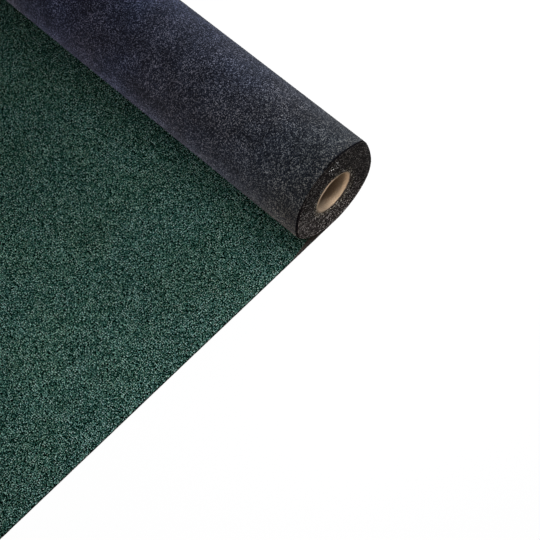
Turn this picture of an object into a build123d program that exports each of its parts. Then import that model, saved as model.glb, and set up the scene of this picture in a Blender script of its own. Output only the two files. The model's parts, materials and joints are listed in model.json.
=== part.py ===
"""A part-unrolled roll of mineral-surfaced roofing felt on a cardboard tube.

The felt is one strip. Most of it is wound on the tube with its underside outwards. The rest
lies flat on the floor with its mineral face up, and runs in under the roll, which rests on it.

Millimetres, +Z up. The roll's axis runs along Y and the laid strip runs from the roll towards
-X. The origin is at the middle of the underside of the whole object's box.
"""

import os
from math import pi, sqrt

from build123d import *

# Felt strip
strip_width = 1000.0  # across the strip, and so the length of the roll and of its tube
felt_thickness = 2.1
laid_length = 1130.0  # from the cut end to the line under the roll's axis

# Winding
turns = 23
winding_gap = 0.05  # air between one turn and the next
nip_rise = 0.15  # the roll's own weight closes the wedge over the laid strip up to this rise

# Spiral seam between the turns, as it shows on both ends of the roll
seam_width = 0.7
seam_depth = 0.8

# Cardboard tube
tube_bore_radius = 35.0
tube_wall = 3.0

# Sizes that follow
pitch = felt_thickness + winding_gap  # what each turn adds to the radius
tube_radius = tube_bore_radius + tube_wall
roll_radius = tube_radius + turns * pitch
axis_x = (laid_length - roll_radius) / 2  # puts the middle of the box over the origin
axis_height = roll_radius

# Each turn is two half circles. The half towards -X stands half a pitch higher and is half a
# pitch smaller, so the two join smoothly at the top and step inwards by one pitch at the bottom.
front_centre = (axis_x, axis_height)
back_centre = (axis_x, axis_height + pitch / 2)
back_radius = roll_radius - pitch / 2


def front_half(inwards):
    """Half circle towards +X, from the bottom to the top, this far inside the roll's outline."""
    return CenterArc(front_centre, roll_radius - inwards, -90, 180)


def back_half(inwards):
    """Half circle towards -X, from the top to the bottom, this far inside the roll's outline."""
    return CenterArc(back_centre, back_radius - inwards, 90, 180)


def felt_profile():
    """Outline of the strip and the roll, seen along the roll's axis."""
    nip_height = pitch + nip_rise
    nip_drop = back_centre[1] - nip_height
    nip_x = axis_x - sqrt(back_radius**2 - nip_drop**2)
    cut_end_x = axis_x - laid_length
    front_half(0)
    RadiusArc((axis_x, 2 * axis_height), (nip_x, nip_height), -back_radius)
    Polyline(
        (nip_x, nip_height),
        (nip_x, felt_thickness),
        (cut_end_x, felt_thickness),
        (cut_end_x, 0),
        (axis_x, 0),
    )


def seam_outline():
    """Outline of the spiral seam: its outer wall, a cap at the inner end, its inner wall and a cap."""
    half = seam_width / 2
    for wall in (-half, half):
        for turn in range(1, turns):
            front_half(turn * pitch + wall)
            if turn < turns - 1:
                back_half(turn * pitch + wall)
    start = pitch
    end = 2 * axis_height - (turns - 1) * pitch
    for height in (start, end):
        Line((axis_x, height - half), (axis_x, height + half))


with BuildPart() as felt:
    with BuildSketch(Plane.XZ):
        with BuildLine():
            felt_profile()
        make_face()
        with Locations(front_centre):
            Circle(tube_radius, mode=Mode.SUBTRACT)
    extrude(amount=strip_width / 2, both=True)
    for side in (-1, 1):
        with BuildSketch(Plane.XZ.offset(side * strip_width / 2)):
            with BuildLine():
                seam_outline()
            make_face()
        extrude(amount=-side * seam_depth, mode=Mode.SUBTRACT)
felt.part.label = "felt"

with BuildPart() as core_tube:
    with BuildSketch(Plane.XZ):
        with Locations(front_centre):
            Circle(tube_radius)
            Circle(tube_bore_radius, mode=Mode.SUBTRACT)
    extrude(amount=strip_width / 2, both=True)
core_tube.part.label = "core_tube"

os.makedirs("parts", exist_ok=True)
export_step(felt.part, "parts/felt.step")
export_step(core_tube.part, "parts/core_tube.step")

half_turn_radii = [roll_radius - turn * pitch for turn in range(turns)]
half_turn_radii += [back_radius - turn * pitch for turn in range(turns - 1)]
wound_length = sum(pi * (radius - felt_thickness / 2) for radius in half_turn_radii)
print(f"roll {2 * roll_radius:.1f} mm across, axis at x {axis_x:.3f} and z {axis_height:.2f} mm")
print(f"felt {(wound_length + laid_length) / 1000:.2f} m long, {wound_length / 1000:.2f} m of it wound")
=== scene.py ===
# %% [markdown]
# # A part-unrolled roll of mineral roofing felt
# Roofing felt is a mat soaked in bitumen. One face is pressed full of coloured mineral granules
# that shield it from the sun. The other face is dusted with fine sand, so that the turns of a
# roll don't stick together. This roll is wound on a cardboard tube with its underside outwards,
# and its loose end lies on the floor with the granules up.
# An exact solid model gives the sizes. We load it as a fixed frame and build the looks over it.

# %% Load the frame and keep its box
import json
import math

import bpy
import numpy as np
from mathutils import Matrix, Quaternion, Vector, noise

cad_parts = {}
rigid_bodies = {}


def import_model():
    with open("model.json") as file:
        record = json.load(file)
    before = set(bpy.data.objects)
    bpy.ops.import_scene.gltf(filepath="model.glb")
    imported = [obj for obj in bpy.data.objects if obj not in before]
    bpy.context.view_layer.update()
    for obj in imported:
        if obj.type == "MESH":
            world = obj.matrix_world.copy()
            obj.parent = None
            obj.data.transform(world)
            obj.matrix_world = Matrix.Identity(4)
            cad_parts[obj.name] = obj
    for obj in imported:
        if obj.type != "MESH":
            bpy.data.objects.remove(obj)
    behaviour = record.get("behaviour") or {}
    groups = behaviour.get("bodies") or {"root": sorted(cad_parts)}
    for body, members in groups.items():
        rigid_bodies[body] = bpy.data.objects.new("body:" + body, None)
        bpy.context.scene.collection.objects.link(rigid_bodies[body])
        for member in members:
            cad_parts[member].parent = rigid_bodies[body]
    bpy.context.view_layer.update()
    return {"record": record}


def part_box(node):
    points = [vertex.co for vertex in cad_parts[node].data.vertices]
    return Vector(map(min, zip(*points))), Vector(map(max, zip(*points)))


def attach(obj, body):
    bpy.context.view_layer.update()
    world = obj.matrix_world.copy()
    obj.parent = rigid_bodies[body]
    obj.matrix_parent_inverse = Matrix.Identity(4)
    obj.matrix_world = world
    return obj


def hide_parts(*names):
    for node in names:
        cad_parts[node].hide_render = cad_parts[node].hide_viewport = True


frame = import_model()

MM = 0.001
felt_low, felt_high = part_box("felt")
tube_low, tube_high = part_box("core_tube")
bore = next(mount for mount in frame["record"]["mounts"] if mount["name"] == "core_bore")
axis_x, _, axis_z = bore["pos_m"]
bore_radius = bore["dims"]["r_mm"] * MM
tube_radius = (tube_high.z - tube_low.z) / 2
roll_radius = axis_z
near_end, far_end = felt_low.y, felt_high.y
cut_end_x = felt_low.x
print("roll radius", round(roll_radius, 5), "tube radius", round(tube_radius, 5), "axis x", axis_x)

# %% [markdown]
# ## The camera
# The photograph looks steeply down on the near end of the roll through a long lens, so that
# parallel edges stay nearly parallel. The lens could be placed by eye, but three straight lines
# and the round end of the roll fix it better. Its place is measured from the floor under the
# middle of the roll's near end. The camera is tipped a little about its own line of sight.

# %% Camera
lens_place = Vector((-0.806, -0.763, 1.988))
lens_azimuth = math.radians(-41.09)
lens_elevation = math.radians(62.56)
lens_roll = math.radians(-5.74)
focal_length_mm = 98.67
film_width_mm = 36
sees_as_far_as = 50

camera_data = bpy.data.cameras.new("photo_camera")
camera_data.sensor_width = film_width_mm
camera_data.lens = focal_length_mm
camera_data.clip_end = sees_as_far_as
camera = bpy.data.objects.new("photo_camera", camera_data)
bpy.context.scene.collection.objects.link(camera)
line_of_sight = Vector((
    -math.sin(lens_azimuth) * math.cos(lens_elevation),
    math.cos(lens_azimuth) * math.cos(lens_elevation),
    -math.sin(lens_elevation),
))
tip = Quaternion((0, 0, 1), lens_roll)
camera.location = Vector((axis_x, near_end, 0)) + lens_place
camera.rotation_mode = "QUATERNION"
camera.rotation_quaternion = line_of_sight.to_track_quat("-Z", "Y") @ tip
bpy.context.scene.camera = camera
print("camera at", [round(v, 3) for v in camera.location])

# %% [markdown]
# ## One way to add a node
# Every finish here is a small web of nodes. A helper that adds one node, sets its properties and
# fills its sockets keeps each material short enough to read in one go. A finish also gets darker
# or lighter from place to place, and a second helper adds the two nodes that this takes.
# The Mix node goes by socket numbers, because its kinds share their names: 0 is the share of the
# second colour, 6 and 7 are the two colours, and 2 is the mixed one.


# %% Colours
def linear(hex_colour):
    """An sRGB colour such as "#3a5247" as the linear RGBA that shaders work in."""
    channels = [int(hex_colour[i:i + 2], 16) / 255 for i in (1, 3, 5)]
    return [c / 12.92 if c <= 0.04045 else ((c + 0.055) / 1.055) ** 2.4 for c in channels] + [1.0]


print("dark bottle green is", [round(c, 3) for c in linear("#2f4a40")])

# %% Nodes
MIX = {"data_type": "RGBA"}
MULTIPLY = {"data_type": "RGBA", "blend_type": "MULTIPLY"}


def add(tree, kind, sockets=None, stops=(), **properties):
    """Add a node. A socket that is given another node's output is linked, and any other is set.

    stops are a colour ramp's places and colours. The two it starts with become the outer ones."""
    made = tree.nodes.new(kind)
    for name, value in properties.items():
        setattr(made, name, value)
    for name, value in (sockets or {}).items():
        if isinstance(value, bpy.types.NodeSocket):
            tree.links.new(value, made.inputs[name])
        else:
            made.inputs[name].default_value = value
    for index, (place, colour) in enumerate((*stops[:1], *stops[-1:], *stops[1:-1])):
        elements = made.color_ramp.elements
        element = elements[index] if index < 2 else elements.new(place)
        element.position, element.color = place, linear(colour)
    return made


def new_material(name):
    """An empty node material, its tree and its surface shader."""
    material = bpy.data.materials.new(name)
    material.use_nodes = True
    return material, material.node_tree, material.node_tree.nodes["Principled BSDF"]


def shaded(tree, colour, value, between, tones, course="LINEAR"):
    """A colour multiplied by one tone below a range of the value and by another above it."""
    tone = add(tree, "ShaderNodeMapRange", {
        "Value": value, "From Min": between[0], "From Max": between[1],
        "To Min": tones[0], "To Max": tones[1],
    }, interpolation_type=course).outputs["Result"]
    return add(tree, "ShaderNodeMix", {0: 1.0, 6: colour, 7: tone}, **MULTIPLY).outputs[2]


print("a multiplying Mix node is", MULTIPLY)

# %% [markdown]
# ## The granule face
# The weather side is a bed of crushed slate chips, coated bottle green and rolled into the hot
# bitumen. No two chips have quite the same tone, a few are pale or nearly black, and the bitumen
# shows dark between them. An image of gravel would repeat, so the chips are Voronoi cells: each
# cell has its own random colour, and the distance to its middle gives the rounded top.
# To the eye that is a matt, speckled green. Most chips are about 1 mm, drawn at their real size.

# %% Granule face: the chips
# The rim of a chip, as a share of its width from its middle, is where the bitumen rises round it.
chip_size = 0.95 * MM
chip_rim = (0.3, 0.65)
chip_rim_tones = (1.1, 0.2)

granule_face, tree, shader = new_material("green_slate_granules_in_bitumen")
flat = add(tree, "ShaderNodeUVMap", uv_map="flat_strip").outputs["UV"]
chips = add(tree, "ShaderNodeTexVoronoi", {
    "Vector": flat, "Scale": 1 / chip_size,
}, voronoi_dimensions="2D").outputs
chip_random = add(tree, "ShaderNodeSeparateColor", {"Color": chips["Color"]}).outputs
chip_colour = add(tree, "ShaderNodeValToRGB", {"Fac": chip_random["Red"]}, stops=[
    (0.0, "#010404"), (0.47, "#03110d"), (0.7, "#14382f"), (0.85, "#528677"), (1.0, "#bdeee0"),
]).outputs["Color"]
chip_hue = add(tree, "ShaderNodeValToRGB", {"Fac": chip_random["Blue"]}, stops=[
    (0.0, "#fff6e2"), (0.5, "#f6f6f0"), (1.0, "#e2eefc"),
]).outputs["Color"]
coated = add(tree, "ShaderNodeMix", {0: 1.0, 6: chip_colour, 7: chip_hue}, **MULTIPLY).outputs[2]
bedded = shaded(tree, coated, chips["Distance"], chip_rim, chip_rim_tones)
print("chips of", round(chip_size / MM, 2), "mm")

# %% Granule face: the coarser chips and their painted glints
# Every few millimetres a coarser chip is drawn paler, partly in its own paler tone and partly as a
# painted glint of a chip that stands a little clear of the others.
# They are spaced fairly evenly, which keeps the face as fine and even as crushed slate looks from
# two metres away, where the small chips alone run together in clumps.
coarse_chip_spacing = 3.3 * MM
coarse_chip_top, coarse_chip_foot = 0.05, 0.31

coarse_chips = add(tree, "ShaderNodeTexVoronoi", {
    "Vector": flat, "Scale": 1 / coarse_chip_spacing, "Randomness": 0.8,
}, voronoi_dimensions="2D").outputs
coarse_random = add(tree, "ShaderNodeSeparateColor", {"Color": coarse_chips["Color"]}).outputs
# The palest coarse chips are partly painted glints.
coarse_tone_and_painted_glint = add(tree, "ShaderNodeValToRGB", {"Fac": coarse_random["Red"]}, stops=[
    (0.0, "#2b554a"), (0.6, "#598f81"), (1.0, "#d2f7ec"),
]).outputs["Color"]
on_coarse_chip = add(tree, "ShaderNodeMapRange", {
    "Value": coarse_chips["Distance"], "From Min": coarse_chip_top, "From Max": coarse_chip_foot,
    "To Min": 1.0, "To Max": 0.0,
}).outputs["Result"]
with_coarse = add(tree, "ShaderNodeMix", {
    0: on_coarse_chip, 6: bedded, 7: coarse_tone_and_painted_glint,
}, **MIX).outputs[2]
print("a coarser chip every", round(coarse_chip_spacing / MM, 2), "mm")

# %% Granule face: patches
# Where the granules were pressed thinner or thicker, a patch a few centimetres wide is a little
# darker or lighter, yellower or bluer. Most of a noise texture lies within the noise span.
noise_span = (0.3, 0.7)
bed_patch_size = 45 * MM
bed_patch_tones = (0.94, 1.06)
hue_patch_size = 90 * MM

patches = add(tree, "ShaderNodeTexNoise", {
    "Vector": flat, "Scale": 1 / bed_patch_size, "Detail": 3.0,
}, noise_dimensions="2D").outputs["Fac"]
hue_noise = add(tree, "ShaderNodeTexNoise", {
    "Vector": flat, "Scale": 1 / hue_patch_size, "Detail": 1.0,
}, noise_dimensions="2D").outputs["Fac"]
patch_hue = add(tree, "ShaderNodeValToRGB", {"Fac": hue_noise}, stops=[
    (0.35, "#efeeeb"), (0.65, "#ecedf0"),
]).outputs["Color"]
patched = shaded(tree, with_coarse, patches, noise_span, bed_patch_tones)
tinted = add(tree, "ShaderNodeMix", {0: 1.0, 6: patched, 7: patch_hue}, **MULTIPLY).outputs[2]
print("patches of", round(bed_patch_size / MM), "and", round(hue_patch_size / MM), "mm")

# %% Granule face: the dark corner
# Where the strip comes out from under the roll, a band along the near edge is painted brown-black,
# a few millimetres wide. The band gets wider towards the roll.
dark_corner_width = 7.5 * MM
dark_corner_starts = axis_x - 100 * MM
dark_corner_full = axis_x - 50 * MM
dark_corner_fades_over = (-0.5 * MM, 1 * MM)
dark_corner_darkness = 0.92

flat_axes = add(tree, "ShaderNodeSeparateXYZ", {"Vector": flat}).outputs
dark_corner_reaches = add(tree, "ShaderNodeMapRange", {
    "Value": flat_axes["X"], "From Min": dark_corner_starts, "From Max": dark_corner_full,
    "To Min": near_end, "To Max": near_end + dark_corner_width,
}).outputs["Result"]
past_corner = add(tree, "ShaderNodeMath", {
    0: flat_axes["Y"], 1: dark_corner_reaches,
}, operation="SUBTRACT").outputs["Value"]
in_dark_corner = add(tree, "ShaderNodeMapRange", {
    "Value": past_corner, "From Min": dark_corner_fades_over[0], "From Max": dark_corner_fades_over[1],
    "To Min": dark_corner_darkness, "To Max": 0.0,
}).outputs["Result"]
# The band along the near edge is painted brown-black here.
cornered = add(tree, "ShaderNodeMix", {0: in_dark_corner, 6: tinted, 7: linear("#443b37")}, **MIX)
tree.links.new(cornered.outputs[2], shader.inputs["Base Color"])
print("bare corner up to", round(dark_corner_width / MM, 1), "mm wide")

# %% Granule face: gloss and relief
# The coating is smoother on some chips than on others, and every chip has a rounded top.
smoothest_chip, roughest_chip = 0.35, 0.95
chip_relief_height = 0.5 * MM

chip_gloss = add(tree, "ShaderNodeMapRange", {
    "Value": chip_random["Green"], "To Min": smoothest_chip, "To Max": roughest_chip,
})
tree.links.new(chip_gloss.outputs["Result"], shader.inputs["Roughness"])
shader.inputs["Specular IOR Level"].default_value = 0.0
chip_relief = add(tree, "ShaderNodeBump", {
    "Height": chips["Distance"], "Strength": 0.8, "Distance": chip_relief_height,
}, invert=True)
tree.links.new(chip_relief.outputs["Normal"], shader.inputs["Normal"])
print("granule face has", len(tree.nodes), "nodes")

# %% [markdown]
# ## The underside
# The other face is bare bitumen that was dusted with fine sand while it was hot. It is matt and
# almost black, with a cold blue cast where the bitumen shows and a browner one where the dust is
# thicker. The dust also catches light that skims along the surface, so the roll is paler towards
# its outline. Sheen is the shader's term for that kind of skimming light on dust or fuzz, and it
# holds from every side. Darkening by the view angle would have to be painted instead.
# The sand is about 0.5 mm across, and it is drawn at 1.15 mm so that it shows.

# %% Underside: the dust's hue and painted sheen on the roll
# Near the ends the dust is thicker, which looks greyer and browner, and half way along the bitumen
# shows through and looks blue. Low on the left the roll is painted paler, as painted sheen where
# skimming light brightens it.
painted_sheen_turn = (0.695, 0.79)
painted_sheen_tones = (1.0, 2.6)


def dust_hue_and_painted_sheen(tree, colour):
    """A colour with the dust's hue along the roll, and painted sheen low on its left side."""
    place = add(tree, "ShaderNodeTexCoord").outputs["Object"]
    along = add(tree, "ShaderNodeSeparateXYZ", {"Vector": place}).outputs["Y"]
    share_along = add(tree, "ShaderNodeMapRange", {
        "Value": along, "From Min": near_end, "From Max": far_end,
    }).outputs["Result"]
    hue = add(tree, "ShaderNodeValToRGB", {"Fac": share_along}, stops=[
        (0.0, "#fdf1d6"), (0.03, "#e9e4d1"), (0.15, "#e6e6ea"),
        (0.5, "#dadbff"), (0.7, "#e3e3f0"), (1.0, "#f2ecdc"),
    ]).outputs["Color"]
    cast = add(tree, "ShaderNodeMix", {0: 1.0, 6: colour, 7: hue}, **MULTIPLY).outputs[2]
    # Painted sheen: a band of turns low on the roll's left is painted up to 2.6 times as pale.
    turn = add(tree, "ShaderNodeAttribute", attribute_name="turn").outputs["Fac"]
    return shaded(tree, cast, turn, painted_sheen_turn, painted_sheen_tones, "SMOOTHSTEP")


# The range printed below is the band of painted sheen.
print("dust lies paler between turns", painted_sheen_turn)

# %% Underside: sand and dust
sand_size = 1.15 * MM
dust_cloud_size = 34 * MM
dust_cloud_span = (0.34, 0.67)
dust_cloud_tones = (0.92, 1.55)
dust_drift_size = 150 * MM

underside, tree, shader = new_material("sand_dusted_bitumen_underside")
flat = add(tree, "ShaderNodeUVMap", uv_map="flat_strip").outputs["UV"]
sand = add(tree, "ShaderNodeTexVoronoi", {
    "Vector": flat, "Scale": 1 / sand_size,
}, voronoi_dimensions="2D").outputs
sand_random = add(tree, "ShaderNodeSeparateColor", {"Color": sand["Color"]}).outputs
sand_colour = add(tree, "ShaderNodeValToRGB", {"Fac": sand_random["Red"]}, stops=[
    (0.0, "#020307"), (0.45, "#0f131a"), (0.8, "#2a2e35"), (1.0, "#676a6e"),
]).outputs["Color"]
clouds = add(tree, "ShaderNodeTexNoise", {
    "Vector": flat, "Scale": 1 / dust_cloud_size, "Detail": 3.0, "Roughness": 0.55,
}, noise_dimensions="2D").outputs["Fac"]
drifts = add(tree, "ShaderNodeTexNoise", {
    "Vector": flat, "Scale": 1 / dust_drift_size, "Detail": 2.0,
}, noise_dimensions="2D").outputs["Fac"]
drift_hue = add(tree, "ShaderNodeValToRGB", {"Fac": drifts}, stops=[
    (0.4, "#e9eefa"), (0.65, "#f6f0ee"),
]).outputs["Color"]
clouded = shaded(tree, sand_colour, clouds, dust_cloud_span, dust_cloud_tones)
dusted = add(tree, "ShaderNodeMix", {0: 1.0, 6: clouded, 7: drift_hue}, **MULTIPLY).outputs[2]
tree.links.new(dust_hue_and_painted_sheen(tree, dusted), shader.inputs["Base Color"])
print("sand of", round(sand_size / MM, 2), "mm in clouds of", round(dust_cloud_size / MM), "mm")

# %% Underside: sheen and relief
sand_height = 0.5 * MM

shader.inputs["Roughness"].default_value = 0.6
shader.inputs["Specular IOR Level"].default_value = 0.02
shader.inputs["Sheen Weight"].default_value = 0.09
shader.inputs["Sheen Roughness"].default_value = 0.5
shader.inputs["Sheen Tint"].default_value = linear("#a4a8b4")
sand_relief = add(tree, "ShaderNodeBump", {
    "Height": sand["Distance"], "Strength": 1.0, "Distance": sand_height,
}, invert=True)
tree.links.new(sand_relief.outputs["Normal"], shader.inputs["Normal"])
print("underside has", len(tree.nodes), "nodes")

# %% [markdown]
# ## The bare margin
# Along its long edges the felt is bare. The sand stops 3.6 mm short of each cut edge, and the
# granules 0.9 mm short. The bitumen there is smooth, so to the eye it is jet black. On the
# outermost turn it draws the black line between the roll's outside and its end; that black is
# partly the bitumen's own and partly painted shade of the gap where the turns hang back, and down
# the left side the cut edge is painted with it too. It could be painted into the two other
# finishes, but it is a surface of its own, so it is a material of its own on its own faces, and
# chips can keep off it.

# %% Bare margin
bare_margin_width = 3.6 * MM
granule_margin_width = 0.9 * MM
ripple_size = 6 * MM
ripple_height = 0.3 * MM

bare_margin, tree, shader = new_material("bare_bitumen_margin")
flat = add(tree, "ShaderNodeUVMap", uv_map="flat_strip").outputs["UV"]
ripple = add(tree, "ShaderNodeTexNoise", {
    "Vector": flat, "Scale": 1 / ripple_size, "Detail": 3.0,
}, noise_dimensions="2D").outputs["Fac"]
# The jet black is the bitumen's own; at the outermost turn's end it also stands in as painted
# shade.
jet = add(tree, "ShaderNodeValToRGB", {"Fac": ripple}, stops=[(0.3, "#060607"), (0.7, "#111012")])
tree.links.new(jet.outputs["Color"], shader.inputs["Base Color"])
shader.inputs["Roughness"].default_value = 0.6
shader.inputs["Specular IOR Level"].default_value = 0.0
ripple_relief = add(tree, "ShaderNodeBump", {
    "Height": ripple, "Strength": 0.4, "Distance": ripple_height,
})
tree.links.new(ripple_relief.outputs["Normal"], shader.inputs["Normal"])
print("bare margin", round(bare_margin_width / MM, 1), "mm wide")

# %% [markdown]
# ## The cut edges
# A blade or a slitting wheel cuts the felt, so its edge shows what is inside: brown-black bitumen
# and grit that the blade dragged out of the granule face. To the eye the ends are rough and dark,
# with single paler grains. Each turn's edge is only 2 mm wide, so the grit is not tied to the
# turns: it reads the plain object places. The ends are painted paler towards the lower left and
# darker towards the upper right, as painted light and shade.

# %% Cut edge: painted light towards the lower left
painted_light_from_low_left = (-0.5, 0, -0.87)
painted_light_grows = (-20 * MM, 50 * MM)
end_painted_light_tones = (0.65, 2.25)


def from_axis(tree):
    """Each place as measured from the tube's axis."""
    place = add(tree, "ShaderNodeTexCoord").outputs["Object"]
    return add(tree, "ShaderNodeVectorMath", {
        0: place, 1: (axis_x, 0, axis_z),
    }, operation="SUBTRACT").outputs["Vector"]


def reach(tree, direction):
    """How far each place lies from the tube's axis in one direction."""
    return add(tree, "ShaderNodeVectorMath", {
        0: from_axis(tree), 1: direction,
    }, operation="DOT_PRODUCT").outputs["Value"]


# Painted light and shade: the ends are paler towards the lower left and darker towards the upper
# right.
def painted_light_on_ends(tree, colour):
    """A colour with painted light towards the lower left of the roll's end, and painted shade
    towards its upper right.
    """
    lower_left = reach(tree, painted_light_from_low_left)
    return shaded(tree, colour, lower_left, painted_light_grows, end_painted_light_tones, "SMOOTHSTEP")


# The print below gives how much paler the painted light makes the ends at most.
print("dust on the ends makes them up to", end_painted_light_tones[1], "times as pale")

# %% Cut edge
grit_size = 1.5 * MM
grit_height = 0.4 * MM
smear_size = 12 * MM
smear_tones = (0.65, 1.35)

cut_edge, tree, shader = new_material("slit_bitumen_edge")
place = add(tree, "ShaderNodeTexCoord").outputs["Object"]
grit = add(tree, "ShaderNodeTexVoronoi", {"Vector": place, "Scale": 1 / grit_size}).outputs
grit_random = add(tree, "ShaderNodeSeparateColor", {"Color": grit["Color"]}).outputs
grit_colour = add(tree, "ShaderNodeValToRGB", {"Fac": grit_random["Red"]}, stops=[
    (0.0, "#040303"), (0.42, "#0f0c0b"), (0.72, "#211c1a"), (0.89, "#484340"), (1.0, "#a39c97"),
]).outputs["Color"]
smears = add(tree, "ShaderNodeTexNoise", {
    "Vector": place, "Scale": 1 / smear_size, "Detail": 3.0,
}).outputs["Fac"]
smeared = shaded(tree, grit_colour, smears, noise_span, smear_tones)
tree.links.new(painted_light_on_ends(tree, smeared), shader.inputs["Base Color"])
shader.inputs["Roughness"].default_value = 0.7
shader.inputs["Specular IOR Level"].default_value = 0.02
grit_relief = add(tree, "ShaderNodeBump", {
    "Height": grit["Distance"], "Strength": 0.7, "Distance": grit_height,
}, invert=True)
tree.links.new(grit_relief.outputs["Normal"], shader.inputs["Normal"])
print("cut edge has", len(tree.nodes), "nodes")

# %% [markdown]
# ## The cardboard tube's finish
# The tube is kraft paper, wound on a mandrel in a spiral and glued. That gives a warm tan with
# fine fibres, and a seam that climbs round the bore like a screw thread. The seam is where the
# height along the tube and the angle round it add up to a whole turn. Paper fibres are too fine to
# show, so their mottle is drawn 0.8 mm coarse. The bore is painted darker from a few millimetres
# in, as painted shade deeper in the tube, and its lower left is painted a darker brown, as painted
# shade.

# %% Cardboard: paper and seam
fibre_size = 0.8 * MM
fibre_height = 0.2 * MM
ply_width = 110 * MM
seam_share = 0.012
seam_tones = (0.45, 1.0)

cardboard, tree, shader = new_material("spiral_wound_kraft_cardboard")
axes = add(tree, "ShaderNodeSeparateXYZ", {"Vector": from_axis(tree)}).outputs
angle_round = add(tree, "ShaderNodeMath", {0: axes["Z"], 1: axes["X"]}, operation="ARCTAN2")
turns_round = add(tree, "ShaderNodeMath", {
    0: angle_round.outputs["Value"], 1: 2 * math.pi,
}, operation="DIVIDE")
plies_along = add(tree, "ShaderNodeMath", {0: axes["Y"], 1: 1 / ply_width}, operation="MULTIPLY")
plies_past = add(tree, "ShaderNodeMath", {
    0: turns_round.outputs["Value"], 1: plies_along.outputs["Value"],
}, operation="ADD")
within_ply = add(tree, "ShaderNodeMath", {0: plies_past.outputs["Value"]}, operation="FRACT")
place = add(tree, "ShaderNodeTexCoord").outputs["Object"]
fibres = add(tree, "ShaderNodeTexNoise", {
    "Vector": place, "Scale": 1 / fibre_size, "Detail": 3.0,
}).outputs["Fac"]
kraft = add(tree, "ShaderNodeValToRGB", {"Fac": fibres}, stops=[
    (0.3, "#a08463"), (0.5, "#cbaf90"), (0.7, "#e2c9aa"),
]).outputs["Color"]
seamed = shaded(tree, kraft, within_ply.outputs["Value"], (0.0, seam_share), seam_tones)
print("a seam every", round(ply_width / MM), "mm along the tube")

# %% Cardboard: painted shade in the bore
painted_shade_deepens = (6 * MM, 26 * MM)
painted_shade_tones = (1.0, 0.5)
painted_shade_side = (-0.8, 0, -0.6)
painted_side_shade_deepens = (0.45 * bore_radius, bore_radius)
painted_side_shade_tones = (1.0, 0.4)

# Painted shade: the bore darkens with depth from the near end.
depth = add(tree, "ShaderNodeMath", {0: axes["Y"], 1: near_end}, operation="SUBTRACT")
with_painted_shade = shaded(tree, seamed, depth.outputs["Value"], painted_shade_deepens, painted_shade_tones, "SMOOTHSTEP")
# Painted shade: the bore darkens towards its lower left.
toward_painted_shade_side = reach(tree, painted_shade_side)
with_painted_side_shade = shaded(tree, with_painted_shade, toward_painted_shade_side, painted_side_shade_deepens, painted_side_shade_tones, "SMOOTHSTEP")
tree.links.new(with_painted_side_shade, shader.inputs["Base Color"])
shader.inputs["Roughness"].default_value = 0.85
fibre_relief = add(tree, "ShaderNodeBump", {
    "Height": fibres, "Strength": 0.3, "Distance": fibre_height,
})
tree.links.new(fibre_relief.outputs["Normal"], shader.inputs["Normal"])
print("cardboard has", len(tree.nodes), "nodes")

# %% [markdown]
# ## The felt strip, flat
# The felt is one strip, ten metres long, so it is modelled as one. A block of the strip's real
# size lies flat with its cut end where the loose end lies, its edges are rounded as a blade drags
# the soft bitumen, and it is cut across into short lengths that will bend. It could be drawn
# rolled up from the start, but on the flat strip each face is easy to choose, and the flat
# places are kept as its UV map, so that grain follows the strip wherever it is wound.

# %% Sizes of the strip
# Each turn is two half circles. A half turn is where it starts along the strip, its centre, and
# the radii of its outside and of its middle, along which the strip keeps its length.
felt_thickness = 2.1 * MM
turns = 23
pitch = (roll_radius - tube_radius) / turns
back_radius = roll_radius - pitch / 2
front_centre = Vector((axis_x, axis_z))
back_centre = Vector((axis_x, axis_z + pitch / 2))

half_turns = []
wound_so_far = 0
for half in range(2 * turns - 1):
    centre, outline = (front_centre, roll_radius) if half % 2 == 0 else (back_centre, back_radius)
    outer_radius = outline - (half // 2) * pitch
    middle_radius = outer_radius - felt_thickness / 2
    half_turns.append((wound_so_far, centre, outer_radius, middle_radius))
    wound_so_far += math.pi * middle_radius
laid_length = axis_x - cut_end_x
strip_length = laid_length + wound_so_far
strip_width = far_end - near_end
print("pitch", round(pitch / MM, 3), "mm, strip", round(strip_length, 3), "m long")


# %% Selecting
def select_none():
    """Deselect every object, because an operator acts on all that is selected."""
    for thing in bpy.context.view_layer.objects:
        thing.select_set(False)


def select_only(thing):
    """Select one object and make it the one that operators act on."""
    select_none()
    thing.select_set(True)
    bpy.context.view_layer.objects.active = thing


def in_edit_mode(thing, pick, kind="EDGE"):
    """Select the edges or faces of a mesh that pick says yes to, and go into edit mode."""
    mesh = thing.data
    for part in (*mesh.vertices, *mesh.edges, *mesh.polygons):
        part.select = False
    for part in mesh.edges if kind == "EDGE" else mesh.polygons:
        part.select = pick(part)
    bpy.ops.object.mode_set(mode="EDIT")
    bpy.ops.mesh.select_mode(type=kind)


select_none()
print("selected", len(bpy.context.selected_objects), "objects")

# %% The flat strip
corner_round = 0.55 * MM
bend_step = 4 * MM

bpy.ops.mesh.primitive_cube_add(
    size=1, location=(cut_end_x + strip_length / 2, (near_end + far_end) / 2, felt_thickness / 2)
)
strip = bpy.context.object
strip.name = "felt_strip"
strip.scale = (strip_length, strip_width, felt_thickness)
bpy.ops.object.transform_apply(location=True, rotation=True, scale=True)


def runs_along(edge):
    """True for an edge that runs the strip's way."""
    ends = [strip.data.vertices[v].co for v in edge.vertices]
    return abs(ends[1].x - ends[0].x) > bend_step / 2


in_edit_mode(strip, runs_along)
bpy.ops.mesh.bevel(affect="EDGES", offset=corner_round, segments=3)
bpy.ops.object.mode_set(mode="OBJECT")
print("block of", [round(side, 4) for side in strip.dimensions], "m")

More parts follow.
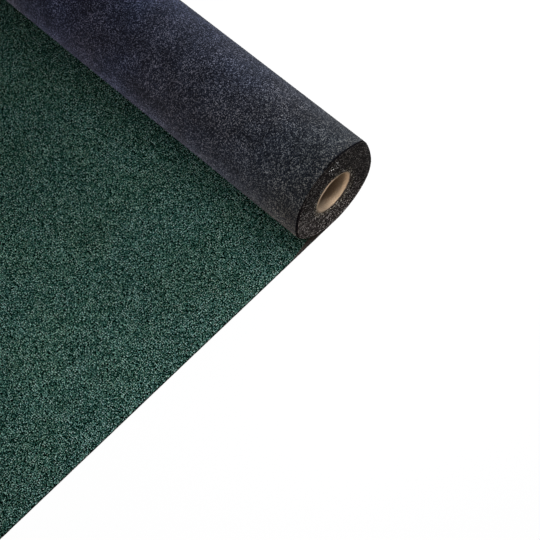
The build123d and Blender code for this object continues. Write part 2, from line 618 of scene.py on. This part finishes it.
# %% The flat strip: margins and bends
# Cuts along the strip part its margins from the rest. The cuts across it come in two rounds,
# because one round makes 100 at most.
for margin in (bare_margin_width, granule_margin_width):
    for cut_y in (near_end + margin, far_end - margin):
        in_edit_mode(strip, lambda face: True, kind="FACE")
        bpy.ops.mesh.bisect(plane_co=(0, cut_y, 0), plane_no=(0, 1, 0))
        bpy.ops.object.mode_set(mode="OBJECT")

cuts = round(math.sqrt(strip_length / bend_step)) - 1
for _ in range(2):
    in_edit_mode(strip, runs_along)
    bpy.ops.mesh.subdivide(number_cuts=cuts)
    bpy.ops.object.mode_set(mode="OBJECT")
print("strip", len(strip.data.vertices), "vertices", len(strip.data.polygons), "faces")

# %% Faces of the strip
# From the top of the roll down its left side, the sand strays onto the margin, up to the edge.
# Down the left side, the outermost turn's cut edge is painted jet black too, as painted shade
# along the gap where the turns hang back. Both stretches end raggedly.
strayed_sand_turn = (0.53, 0.9)
# Painted shade: over this stretch the cut edge gets the jet black margin finish.
painted_shade_edge_turn = (0.655, 0.9)
raggedness = 0.03
rags_per_metre = 130
faces_squarely = 0.9
outermost_length = 2 * math.pi * (roll_radius - felt_thickness / 2)


def lies_within(face, turn_range):
    """True for a face of the outermost turn between two raggedly ending places round it."""
    x, y, _ = face.center
    turn = (x - axis_x) / outermost_length
    ragged = raggedness * noise.noise(Vector((x * rags_per_metre, y, 0)))
    return turn_range[0] < turn + ragged < turn_range[1]


on_granules, on_underside, on_cut_edge, on_bare_margin = range(4)
for material in (granule_face, underside, cut_edge, bare_margin):
    strip.data.materials.append(material)
for face in strip.data.polygons:
    granules_up = face.normal.z > 0
    margin = granule_margin_width if granules_up else bare_margin_width
    in_margin = abs(face.center.y) > strip_width / 2 - margin
    if abs(face.normal.z) < faces_squarely:
        in_painted_shade_edge = lies_within(face, painted_shade_edge_turn)
        face.material_index = on_bare_margin if in_painted_shade_edge else on_cut_edge
    elif in_margin and not lies_within(face, strayed_sand_turn):
        face.material_index = on_bare_margin
    else:
        face.material_index = on_granules if granules_up else on_underside
print("bare faces:", sum(face.material_index == on_bare_margin for face in strip.data.polygons))

# %% Flat places of the strip
flat_places = np.empty(3 * len(strip.data.vertices), np.float32)
strip.data.vertices.foreach_get("co", flat_places)
flat_places = flat_places.reshape(-1, 3).astype(float)
corner_vertices = np.empty(len(strip.data.loops), np.int32)
strip.data.loops.foreach_get("vertex_index", corner_vertices)
flat_map = strip.data.uv_layers[0] if strip.data.uv_layers else strip.data.uv_layers.new()
flat_map.name = "flat_strip"
flat_map.data.foreach_set("uv", flat_places[corner_vertices][:, :2].astype(np.float32).ravel())
lowest, highest = flat_places[:, 0].min(), flat_places[:, 0].max()
print("flat strip from x", round(lowest, 3), "to", round(highest, 3))

# %% [markdown]
# ## Winding the strip
# What lies beyond the roll's axis is wound up, as on the machine. Each turn is two half circles,
# about two centres half a pitch apart, so that each turn steps in by one pitch. Simple Deform can
# only bend to one circle, so a short formula carries each point of the flat strip to its place:
# how far along the strip it is says which half turn and what angle, and its height above the
# underside says how far in from the outside of that turn it is.

# %% Where each point is on the winding
run = flat_places[:, 0] - axis_x
wound = run > 0
starts = np.array([start for start, *_ in half_turns])
which = np.searchsorted(starts, run, side="right") - 1
which[~wound] = 0
centres = np.array([list(half_turns[w][1]) for w in which])
outer = np.array([half_turns[w][2] for w in which])
middle = np.array([half_turns[w][3] for w in which])
angle = (run - starts[which]) / middle
turns_in = np.where(wound, which / 2 + angle / (2 * math.pi), 0.0)
degrees_round = (turns_in * 360 - 90) % 360
print("points on the winding", int(wound.sum()), "of", len(run))

# %% [markdown]
# ## Slipped turns and wandering edges
# A real winding is never flush. When the roll is set down and pulled open, the turns slip past
# each other, so one side of the near end stands out a few millimetres and the other side is
# rounded off, and the outermost turn hangs back from the next one. Each edge also wanders, because
# the slitting wheel does. The turns could be moved one by one by hand. Instead each slip is a
# smooth hill round the roll that fades towards the tube, so that no turn is torn.

# %% Slipped turns
# Each slip is its middle round the roll and its half width, in degrees, its size inwards, and the
# number of turns over which it fades.
near_slips = [(18, 26, 10.0 * MM, 3), (175, 38, -7.0 * MM, 12)]
far_slips = [(70, 45, -3.0 * MM, 9), (240, 50, 3.5 * MM, 12)]
hang_back = 3.9 * MM
hangs_back_about_turn = 0.77
hangs_back_within = 0.14


def slipped(slips):
    """How far inwards the points of one edge have slipped."""
    total = np.zeros(len(run))
    for middle_angle, half_width, size, fade_turns in slips:
        round_from_middle = (degrees_round - middle_angle + 180) % 360 - 180
        hill = np.exp(-((round_from_middle / half_width) ** 2))
        total += size * hill * np.exp(-((turns_in / fade_turns) ** 1.5))
    return np.where(wound, total, 0.0)


on_near_side = flat_places[:, 1] < 0
from_hang_back = (turns_in - hangs_back_about_turn) / hangs_back_within
hung_back = np.where(wound, hang_back * np.exp(-(from_hang_back**4)), 0.0)
inwards = np.where(on_near_side, slipped(near_slips) + hung_back, slipped(far_slips))
print("slip from", round(inwards.min() / MM, 1), "to", round(inwards.max() / MM, 1), "mm inwards")

# %% Wandering edges
# The laid sheet's slow wander is a quarter of the winding's, which is full from 0.3 m in. The rows
# and the layer only take the edges and the two kinds of wander to different parts of the noise.
slow_wander, slow_waves_per_metre, slow_noise_row = 0.5 * MM, 4, 7
quick_wander, quick_waves_per_metre, quick_noise_row, quick_noise_layer = 0.18 * MM, 60, 31, 5
laid_wander_share = 0.25
full_wander_from = 0.3

wander = np.zeros(len(run))
for index, place in enumerate(run):
    side = -1.0 if on_near_side[index] else 1.0
    slow = noise.noise(Vector((place * slow_waves_per_metre, side * slow_noise_row, 0)))
    quick = noise.noise(Vector((
        place * quick_waves_per_metre, side * quick_noise_row, quick_noise_layer,
    )))
    slow_share = min(1.0, max(laid_wander_share, place / full_wander_from))
    wander[index] = slow_wander * slow * slow_share + quick_wander * quick
places = flat_places.copy()
places[:, 1] += np.where(on_near_side, inwards, -inwards) + wander
print("edges wander by up to", round(abs(wander).max() / MM, 2), "mm")

# %% Wind the strip
strip_smooth_up_to = math.radians(50)

sign = np.where(which % 2 == 0, 1.0, -1.0)
distance = outer - flat_places[:, 2]
places[wound, 0] = (centres[:, 0] + sign * distance * np.sin(angle))[wound]
places[wound, 2] = (centres[:, 1] - sign * distance * np.cos(angle))[wound]
strip.data.vertices.foreach_set("co", places.astype(np.float32).ravel())
# On the winding the attribute counts turns in from the outside. On the laid sheet it is negative,
# in metres from the roll's axis.
turn_of_point = strip.data.attributes.new("turn", "FLOAT", "POINT")
turn_of_point.data.foreach_set("value", np.where(wound, turns_in, run).astype(np.float32))
strip.data.update()

select_only(strip)
bpy.ops.object.shade_smooth_by_angle(angle=strip_smooth_up_to)
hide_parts("felt")
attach(strip, "root")
print("wound strip box", places.min(0).round(4), places.max(0).round(4))

# %% [markdown]
# ## The cardboard tube
# The felt is wound on a tube with a 3 mm wall, as long as the strip is wide. A plain pipe would
# look turned from steel. This one starts as a solid cylinder. Its ends are inset by the wall and
# opened, the two openings are bridged to make the bore, and the rims are rounded a little. Then
# the ends get the small bumps that a saw leaves in paper, and the near end's lip is frayed.

# %% Tube: a pipe from a cylinder
tube_sides = 192
tube_wall = tube_radius - bore_radius
rim_round = 0.6 * MM

select_none()
bpy.ops.mesh.primitive_cylinder_add(
    vertices=tube_sides, radius=tube_radius, depth=strip_width, end_fill_type="NGON",
    location=(axis_x, (near_end + far_end) / 2, axis_z), rotation=(math.radians(90), 0, 0),
)
tube = bpy.context.object
tube.name = "cardboard_tube"
bpy.ops.object.transform_apply(location=True, rotation=True, scale=True)
in_edit_mode(tube, lambda face: abs(face.normal.y) > faces_squarely, kind="FACE")
bpy.ops.mesh.inset(thickness=tube_wall)
bpy.ops.mesh.delete(type="FACE")
bpy.ops.object.mode_set(mode="OBJECT")
print("tube wall", round(tube_wall / MM, 2), "mm")


# %% Tube: bore and rims
def from_tube_axis(point):
    """The distance of a point from the tube's axis."""
    return math.hypot(point.x - axis_x, point.z - axis_z)


def on_open_rim(edge):
    """True for an edge round an opening of the bore."""
    ends = [tube.data.vertices[v].co for v in edge.vertices]
    same_end = abs(ends[0].y - ends[1].y) < strip_width / 2
    return same_end and max(from_tube_axis(end) for end in ends) < bore_radius + tube_wall / 2


in_edit_mode(tube, on_open_rim)
bpy.ops.mesh.bridge_edge_loops()
bpy.ops.object.mode_set(mode="OBJECT")


def on_any_rim(edge):
    """True for an edge round the outside or inside of the wall's ends."""
    ends = [tube.data.vertices[v].co for v in edge.vertices]
    if abs(ends[0].y - ends[1].y) > strip_width / 2:
        return False
    return abs(from_tube_axis(ends[0]) - from_tube_axis(ends[1])) < tube_wall / 2


in_edit_mode(tube, on_any_rim)
bpy.ops.mesh.bevel(affect="EDGES", offset=rim_round, segments=2)
bpy.ops.mesh.select_all(action="SELECT")
bpy.ops.mesh.normals_make_consistent(inside=False)
bpy.ops.object.mode_set(mode="OBJECT")
print("tube", len(tube.data.vertices), "vertices, rims rounded by", round(rim_round / MM, 2), "mm")

# %% Tube: sawn ends and frayed lip
# The near end was sawn a little askew. Its upper left stands just proud of the felt, and its lower
# right lies a little inside. The lip is the ring of points at the very end, and tufts of paper
# hang from it into the bore.
saw_bump = 0.5 * MM
fine_marks_per_metre, broad_marks_per_metre, broad_mark_share = 450, 160, 0.6
fray, tufts_per_metre = 2.4 * MM, 420
stands_proud = 0.5 * MM
proud_side = Vector((-0.8, 0, 0.6))
askew_by = 3.0 * MM
tube_smooth_up_to = math.radians(40)

for vertex in tube.data.vertices:
    on_lip = vertex.co.y < near_end + rim_round / 6
    fine_marks = noise.noise(vertex.co * fine_marks_per_metre)
    broad_marks = noise.noise(vertex.co * broad_marks_per_metre)
    vertex.co.y += saw_bump * (fine_marks + broad_mark_share * broad_marks)
    if vertex.co.y < 0:
        outwards = (vertex.co - Vector((axis_x, vertex.co.y, axis_z))).normalized()
        vertex.co.y += askew_by * (1 - outwards.dot(proud_side)) / 2 - stands_proud
        if on_lip:
            vertex.co -= outwards * fray * max(0.0, noise.noise(vertex.co * tufts_per_metre))
tube.data.materials.append(cardboard)
select_only(tube)
bpy.ops.object.shade_smooth_by_angle(angle=tube_smooth_up_to)
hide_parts("core_tube")
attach(tube, "root")
ends_at = [vertex.co.y for vertex in tube.data.vertices]
print("tube ends at y", round(min(ends_at), 4), "and", round(max(ends_at), 4))

# %% [markdown]
# ## Loose and standing chips
# The drawn granules and sand lie flat. On the real felt some chips stand proud and catch the
# light: granules on the sheet, sand on the roll, grit and paper dust at its ends, and a few white
# specks above the bore. These are real pieces here. A chip is an eight-sided crystal, and Geometry
# Nodes strews copies of it over the chosen faces, each turned and sized differently, and makes
# them one mesh. Chips could be copied by hand or by a particle system, but Poisson spacing keeps
# them as even as a strewing machine does. One mesh holds up to about 19,000 of them, and the drawn
# grain fills in between. Sand and granules are drawn coarser than real ones, so that they show.


# %% Chip finishes
def chip_material(name, tones, roughness, cast=None):
    """A finish for chips, each with its own tone from its chip_tone, and, if given, the tint and
    painted light of its place.
    """
    material, tree, shader = new_material(name)
    tone = add(tree, "ShaderNodeAttribute", attribute_name="chip_tone").outputs["Fac"]
    colour = add(tree, "ShaderNodeValToRGB", {"Fac": tone}, stops=tones).outputs["Color"]
    tree.links.new(cast(tree, colour) if cast else colour, shader.inputs["Base Color"])
    shader.inputs["Roughness"].default_value = roughness
    shader.inputs["Specular IOR Level"].default_value = 0.05
    return material


# Coated slate: bright sea-green points among bottle green
standing_chip = chip_material("crushed_slate_coated_green", [
    (0.0, "#020c09"), (0.45, "#16382e"), (0.68, "#6f9c80"), (0.84, "#92cdbc"), (1.0, "#eafff4"),
], 0.6)
# Grit in bitumen: most of it is as black as the bitumen, and a few grains show their grey stone
# The grit takes the painted light of the ends too.
clinging_grit = chip_material("slate_grit_in_bitumen", [
    (0.0, "#060505"), (0.6, "#171414"), (0.88, "#4c4744"), (1.0, "#b9b5af"),
], 0.6, painted_light_on_ends)
# Quartz sand: cool grey sparks on the dark roll
# The sand chips take the dust's hue and the painted sheen low on the left too.
standing_sand = chip_material("fine_quartz_sand_on_bitumen", [
    (0.0, "#05060a"), (0.5, "#15181f"), (0.8, "#3d4046"), (1.0, "#707379"),
], 0.7, dust_hue_and_painted_sheen)
# Grit and paper dust from the sawn tube: a sandy ring round the bore
# This grit takes the painted light of the ends too.
pale_grit = chip_material("pale_grit_and_paper_dust", [
    (0.0, "#14120f"), (0.5, "#332f27"), (0.8, "#7f7664"), (1.0, "#dfd9ca"),
], 0.7, painted_light_on_ends)
# Uncoated mineral: a few pure white points
white_specks = chip_material("white_mineral_specks", [
    (0.0, "#0c0b0a"), (0.5, "#4a4844"), (0.75, "#c9c8c4"), (1.0, "#ffffff"),
], 0.6)
chip_finishes = (standing_chip, clinging_grit, standing_sand, pale_grit, white_specks)
print("chip finishes:", [finish.name for finish in chip_finishes])


# %% Strewing chips: the ground
def ground_for_chips(group, on, turns_between):
    """The faces of the strip that have one material and lie between two turns."""
    source = add(group, "GeometryNodeObjectInfo", {"Object": strip}).outputs["Geometry"]
    turn = add(group, "GeometryNodeInputNamedAttribute", {
        "Name": "turn",
    }, data_type="FLOAT").outputs[0]
    chosen = add(group, "GeometryNodeMaterialSelection", {"Material": on}).outputs[0]
    for limit, which_side in zip(turns_between, ("GREATER_THAN", "LESS_THAN")):
        inside = add(group, "FunctionNodeCompare", {0: turn, 1: limit}, operation=which_side)
        chosen = add(group, "FunctionNodeBooleanMath", {
            0: chosen, 1: inside.outputs[0],
        }, operation="AND").outputs[0]
    return add(group, "GeometryNodeSeparateGeometry", {
        "Geometry": source, "Selection": chosen,
    }, domain="FACE").outputs[0]


print("chips can lie on", [material.name for material in strip.data.materials])


# %% Strewing chips: the spots
def spots_for_chips(group, ground, spacing, near, seed):
    """Evenly spread spots on the ground, and how each spot is turned to face outwards.

    near, if given, is a place and how far from it a spot may be. More spots are tried than fit,
    so that the spacing decides how many stay."""
    tried_per_area = 2 / spacing**2
    spots = add(group, "GeometryNodeDistributePointsOnFaces", {
        "Mesh": ground, "Distance Min": spacing, "Density Max": tried_per_area, "Seed": seed,
    }, distribute_method="POISSON").outputs
    if not near:
        return spots["Points"], spots["Rotation"]
    middle, farthest = near
    spot_place = add(group, "GeometryNodeInputPosition").outputs[0]
    away = add(group, "ShaderNodeVectorMath", {0: spot_place, 1: middle}, operation="DISTANCE")
    too_far = add(group, "FunctionNodeCompare", {
        0: away.outputs["Value"], 1: farthest,
    }, operation="GREATER_THAN").outputs[0]
    kept = add(group, "GeometryNodeDeleteGeometry", {
        "Geometry": spots["Points"], "Selection": too_far,
    }).outputs[0]
    return kept, spots["Rotation"]


# %% Strewing chips: the chips
# A chip's length, breadth and height lie between these shares of the given length, the given
# length again and the given height. It leans by up to half a radian each way.
smallest_share = (0.6, 0.5, 0.7)
largest_share = (1.3, 1.0, 1.3)
most_lean = 0.5


def chips_on_spots(group, points, facing, length, height, seed):
    """A crystal on each spot, each with its own size, turn and chip_tone."""
    crystal = add(group, "GeometryNodeMeshUVSphere", {"Segments": 4, "Rings": 2, "Radius": 0.5})
    sizes = (length, length, height)
    size = add(group, "FunctionNodeRandomValue", {
        0: [of * share for of, share in zip(sizes, smallest_share)],
        1: [of * share for of, share in zip(sizes, largest_share)],
        "Seed": seed + 1,
    }, data_type="FLOAT_VECTOR").outputs[0]
    spin = add(group, "FunctionNodeRandomValue", {
        0: (-most_lean, -most_lean, 0), 1: (most_lean, most_lean, 2 * math.pi), "Seed": seed + 2,
    }, data_type="FLOAT_VECTOR").outputs[0]
    turned = add(group, "FunctionNodeEulerToRotation", {0: spin}).outputs[0]
    laid = add(group, "FunctionNodeRotateRotation", {
        0: facing, 1: turned,
    }, rotation_space="LOCAL").outputs[0]
    chips = add(group, "GeometryNodeInstanceOnPoints", {
        "Points": points, "Instance": crystal.outputs["Mesh"], "Rotation": laid, "Scale": size,
    }).outputs[0]
    tone = add(group, "FunctionNodeRandomValue", {"Seed": seed + 3}, data_type="FLOAT").outputs[1]
    toned = add(group, "GeometryNodeStoreNamedAttribute", {
        "Geometry": chips, "Name": "chip_tone", "Value": tone,
    }, data_type="FLOAT", domain="INSTANCE").outputs[0]
    return add(group, "GeometryNodeRealizeInstances", {0: toned}).outputs[0]


print("a chip is", smallest_share, "to", largest_share, "of its given sizes")


# %% Strewing chips: one piece of them
def strew(name, finish, on, turns_between, spacing, length, height, seed, near=None):
    """A piece that is one mesh of chips, strewn on one finish of the strip."""
    group = bpy.data.node_groups.new(name, "GeometryNodeTree")
    group.interface.new_socket("Geometry", in_out="OUTPUT", socket_type="NodeSocketGeometry")
    ground = ground_for_chips(group, on, turns_between)
    points, facing = spots_for_chips(group, ground, spacing, near, seed)
    chips = chips_on_spots(group, points, facing, length, height, seed)
    finished = add(group, "GeometryNodeSetMaterial", {"Geometry": chips, "Material": finish})
    add(group, "NodeGroupOutput", {0: finished.outputs[0]})

    piece = bpy.data.objects.new(name, bpy.data.meshes.new(name))
    bpy.context.scene.collection.objects.link(piece)
    select_only(piece)
    piece.modifiers.new("strew", "NODES").node_group = group
    bpy.ops.object.modifier_apply(modifier="strew")
    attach(piece, "root")
    points_of_crystal = 6
    chip_count = len(piece.data.vertices) // points_of_crystal
    print(name, "has", chip_count, "chips,", len(piece.data.polygons), "triangles")


# %% Strewing chips: granules on the sheet and grit on the ends
# On the laid sheet the strip's turn is negative, in metres from the roll's axis.
past_cut_end = -2
under_the_roll = -34 * MM
whole_sheet = (past_cut_end, under_the_roll)
whole_winding = (0, turns)
innermost_four_turns = (turns - 4, turns)
specks_about = (axis_x + 1 * MM, near_end, axis_z + 68 * MM)
specks_within = 13 * MM

strew(
    "standing_granules", standing_chip, granule_face, whole_sheet,
    spacing=5.3 * MM, length=1.5 * MM, height=1.0 * MM, seed=4,
)
strew(
    "grit_on_cut_edges", clinging_grit, cut_edge, whole_winding,
    spacing=1.45 * MM, length=1.05 * MM, height=0.7 * MM, seed=11,
)
strew(
    "pale_grit_round_bore", pale_grit, cut_edge, innermost_four_turns,
    spacing=1.6 * MM, length=1.9 * MM, height=1.0 * MM, seed=21,
)
strew(
    "white_specks_above_bore", white_specks, cut_edge, whole_winding,
    spacing=3.4 * MM, length=2.0 * MM, height=1.2 * MM, seed=51,
    near=(specks_about, specks_within),
)

# %% Strewing chips: sand on the roll
# The two halves of the outermost turn are two pieces, to keep each mesh of a modest size. Both
# stop short of where the turn meets the sheet.
right_of_roll = (0.02, 0.5)
left_of_roll = (0.5, 0.985)
for name, half, seed in (
    ("sand_on_right_of_roll", right_of_roll, 31), ("sand_on_left_of_roll", left_of_roll, 41),
):
    strew(
        name, standing_sand, underside, half,
        spacing=2.6 * MM, length=1.25 * MM, height=0.9 * MM, seed=seed,
    )

# %% [markdown]
# ## Floor and light
# The roll lies on plain white studio paper. More light would make the paper white, but it would
# bleach the roll too. So the paper is lit like the object, and where the camera sees it, it also
# glows a little, and the roll's soft shadow stays. A white room fills the shadows dimly.
# There are three soft lamps. A narrow strip light hangs above the near end, and its light falls
# off along the roll. A warm fill stands low and far off to the left, and a long light on the
# right shows the roundness of the roll.


# %% What the camera sees
def seen_as_background(tree):
    """1 where the camera sees a surface, also in gloss or through glass, and 0 where it lights."""
    rays = add(tree, "ShaderNodeLightPath").outputs
    seen = add(tree, "ShaderNodeMath", {
        0: rays["Is Camera Ray"], 1: rays["Is Glossy Ray"],
    }, operation="MAXIMUM").outputs["Value"]
    return add(tree, "ShaderNodeMath", {
        0: seen, 1: rays["Is Transmission Ray"],
    }, operation="MAXIMUM").outputs["Value"]


print("the background is white to camera, glossy and transmission rays")

# %% Floor
floor_width = 30
floor_gap = 0.2 * MM
paper_lights_with = 0.25
paper_is_seen_at = 0.95
glow_at_most = 0.95

select_none()
bpy.ops.mesh.primitive_plane_add(size=floor_width, location=(0, 0, -floor_gap))
floor = bpy.context.object
floor.name = "floor"
# Studio paper is matt and pure white, with nothing on it for the eye to rest on.
floor_paint, tree, shader = new_material("white_studio_paper")
floor.data.materials.append(floor_paint)
shader.inputs["Roughness"].default_value = 1.0
shader.inputs["Specular IOR Level"].default_value = 0.0
seen = seen_as_background(tree)
paper_level = add(tree, "ShaderNodeMapRange", {
    "Value": seen, "To Min": paper_lights_with, "To Max": paper_is_seen_at,
})
tree.links.new(paper_level.outputs["Result"], shader.inputs["Base Color"])
glow_share = add(tree, "ShaderNodeMath", {0: seen, 1: glow_at_most}, operation="MULTIPLY")
glow = add(tree, "ShaderNodeEmission", {"Color": (1, 1, 1, 1), "Strength": 1.0})
paper = add(tree, "ShaderNodeMixShader", {
    0: glow_share.outputs["Value"], 1: shader.outputs["BSDF"], 2: glow.outputs["Emission"],
})
tree.links.new(paper.outputs["Shader"], tree.nodes["Material Output"].inputs["Surface"])
print("floor under the sheet at", floor.location.z)

# %% White room
room_level = 0.12

world = bpy.data.worlds.new("white_room")
bpy.context.scene.world = world
world.use_nodes = True
tree = world.node_tree
background = tree.nodes["Background"]
background.inputs["Color"].default_value = (1, 1, 1, 1)
level = add(tree, "ShaderNodeMapRange", {
    "Value": seen_as_background(tree), "To Min": room_level, "To Max": 1.0,
})
tree.links.new(level.outputs["Result"], background.inputs["Strength"])
bpy.context.scene.view_settings.view_transform = "Standard"
print("the room lights with a strength of", room_level)


# %% Lamps
def softbox(name, place, aim, width, depth, watts, tint):
    """A soft rectangular lamp at a place relative to the floor under the roll's near end."""
    data = bpy.data.lights.new(name, "AREA")
    data.shape = "RECTANGLE"
    data.size, data.size_y = width, depth
    data.energy = watts
    data.color = linear(tint)[:3]
    lamp = bpy.data.objects.new(name, data)
    bpy.context.scene.collection.objects.link(lamp)
    foot = Vector((axis_x, near_end, 0))
    lamp.location = foot + Vector(place)
    line_of_light = foot + Vector(aim) - lamp.location
    lamp.rotation_euler = line_of_light.to_track_quat("-Z", "Y").to_euler()
    print(name, "at", [round(v, 2) for v in lamp.location])


softbox(
    "strip_light_above", place=(-0.12, -0.08, 0.78), aim=(-0.12, -0.05, 0),
    width=0.9, depth=0.16, watts=5.3, tint="#f8faff",
)
softbox(
    "low_fill_left", place=(-3.4, -0.24, 0.24), aim=(0, 0.1, 0.06),
    width=0.6, depth=0.36, watts=80.0, tint="#fff0e6",
)
softbox(
    "long_light_right", place=(0.75, 0.12, 0.5), aim=(0, 0.16, 0.1),
    width=1.0, depth=0.3, watts=14.0, tint="#f8faff",
)
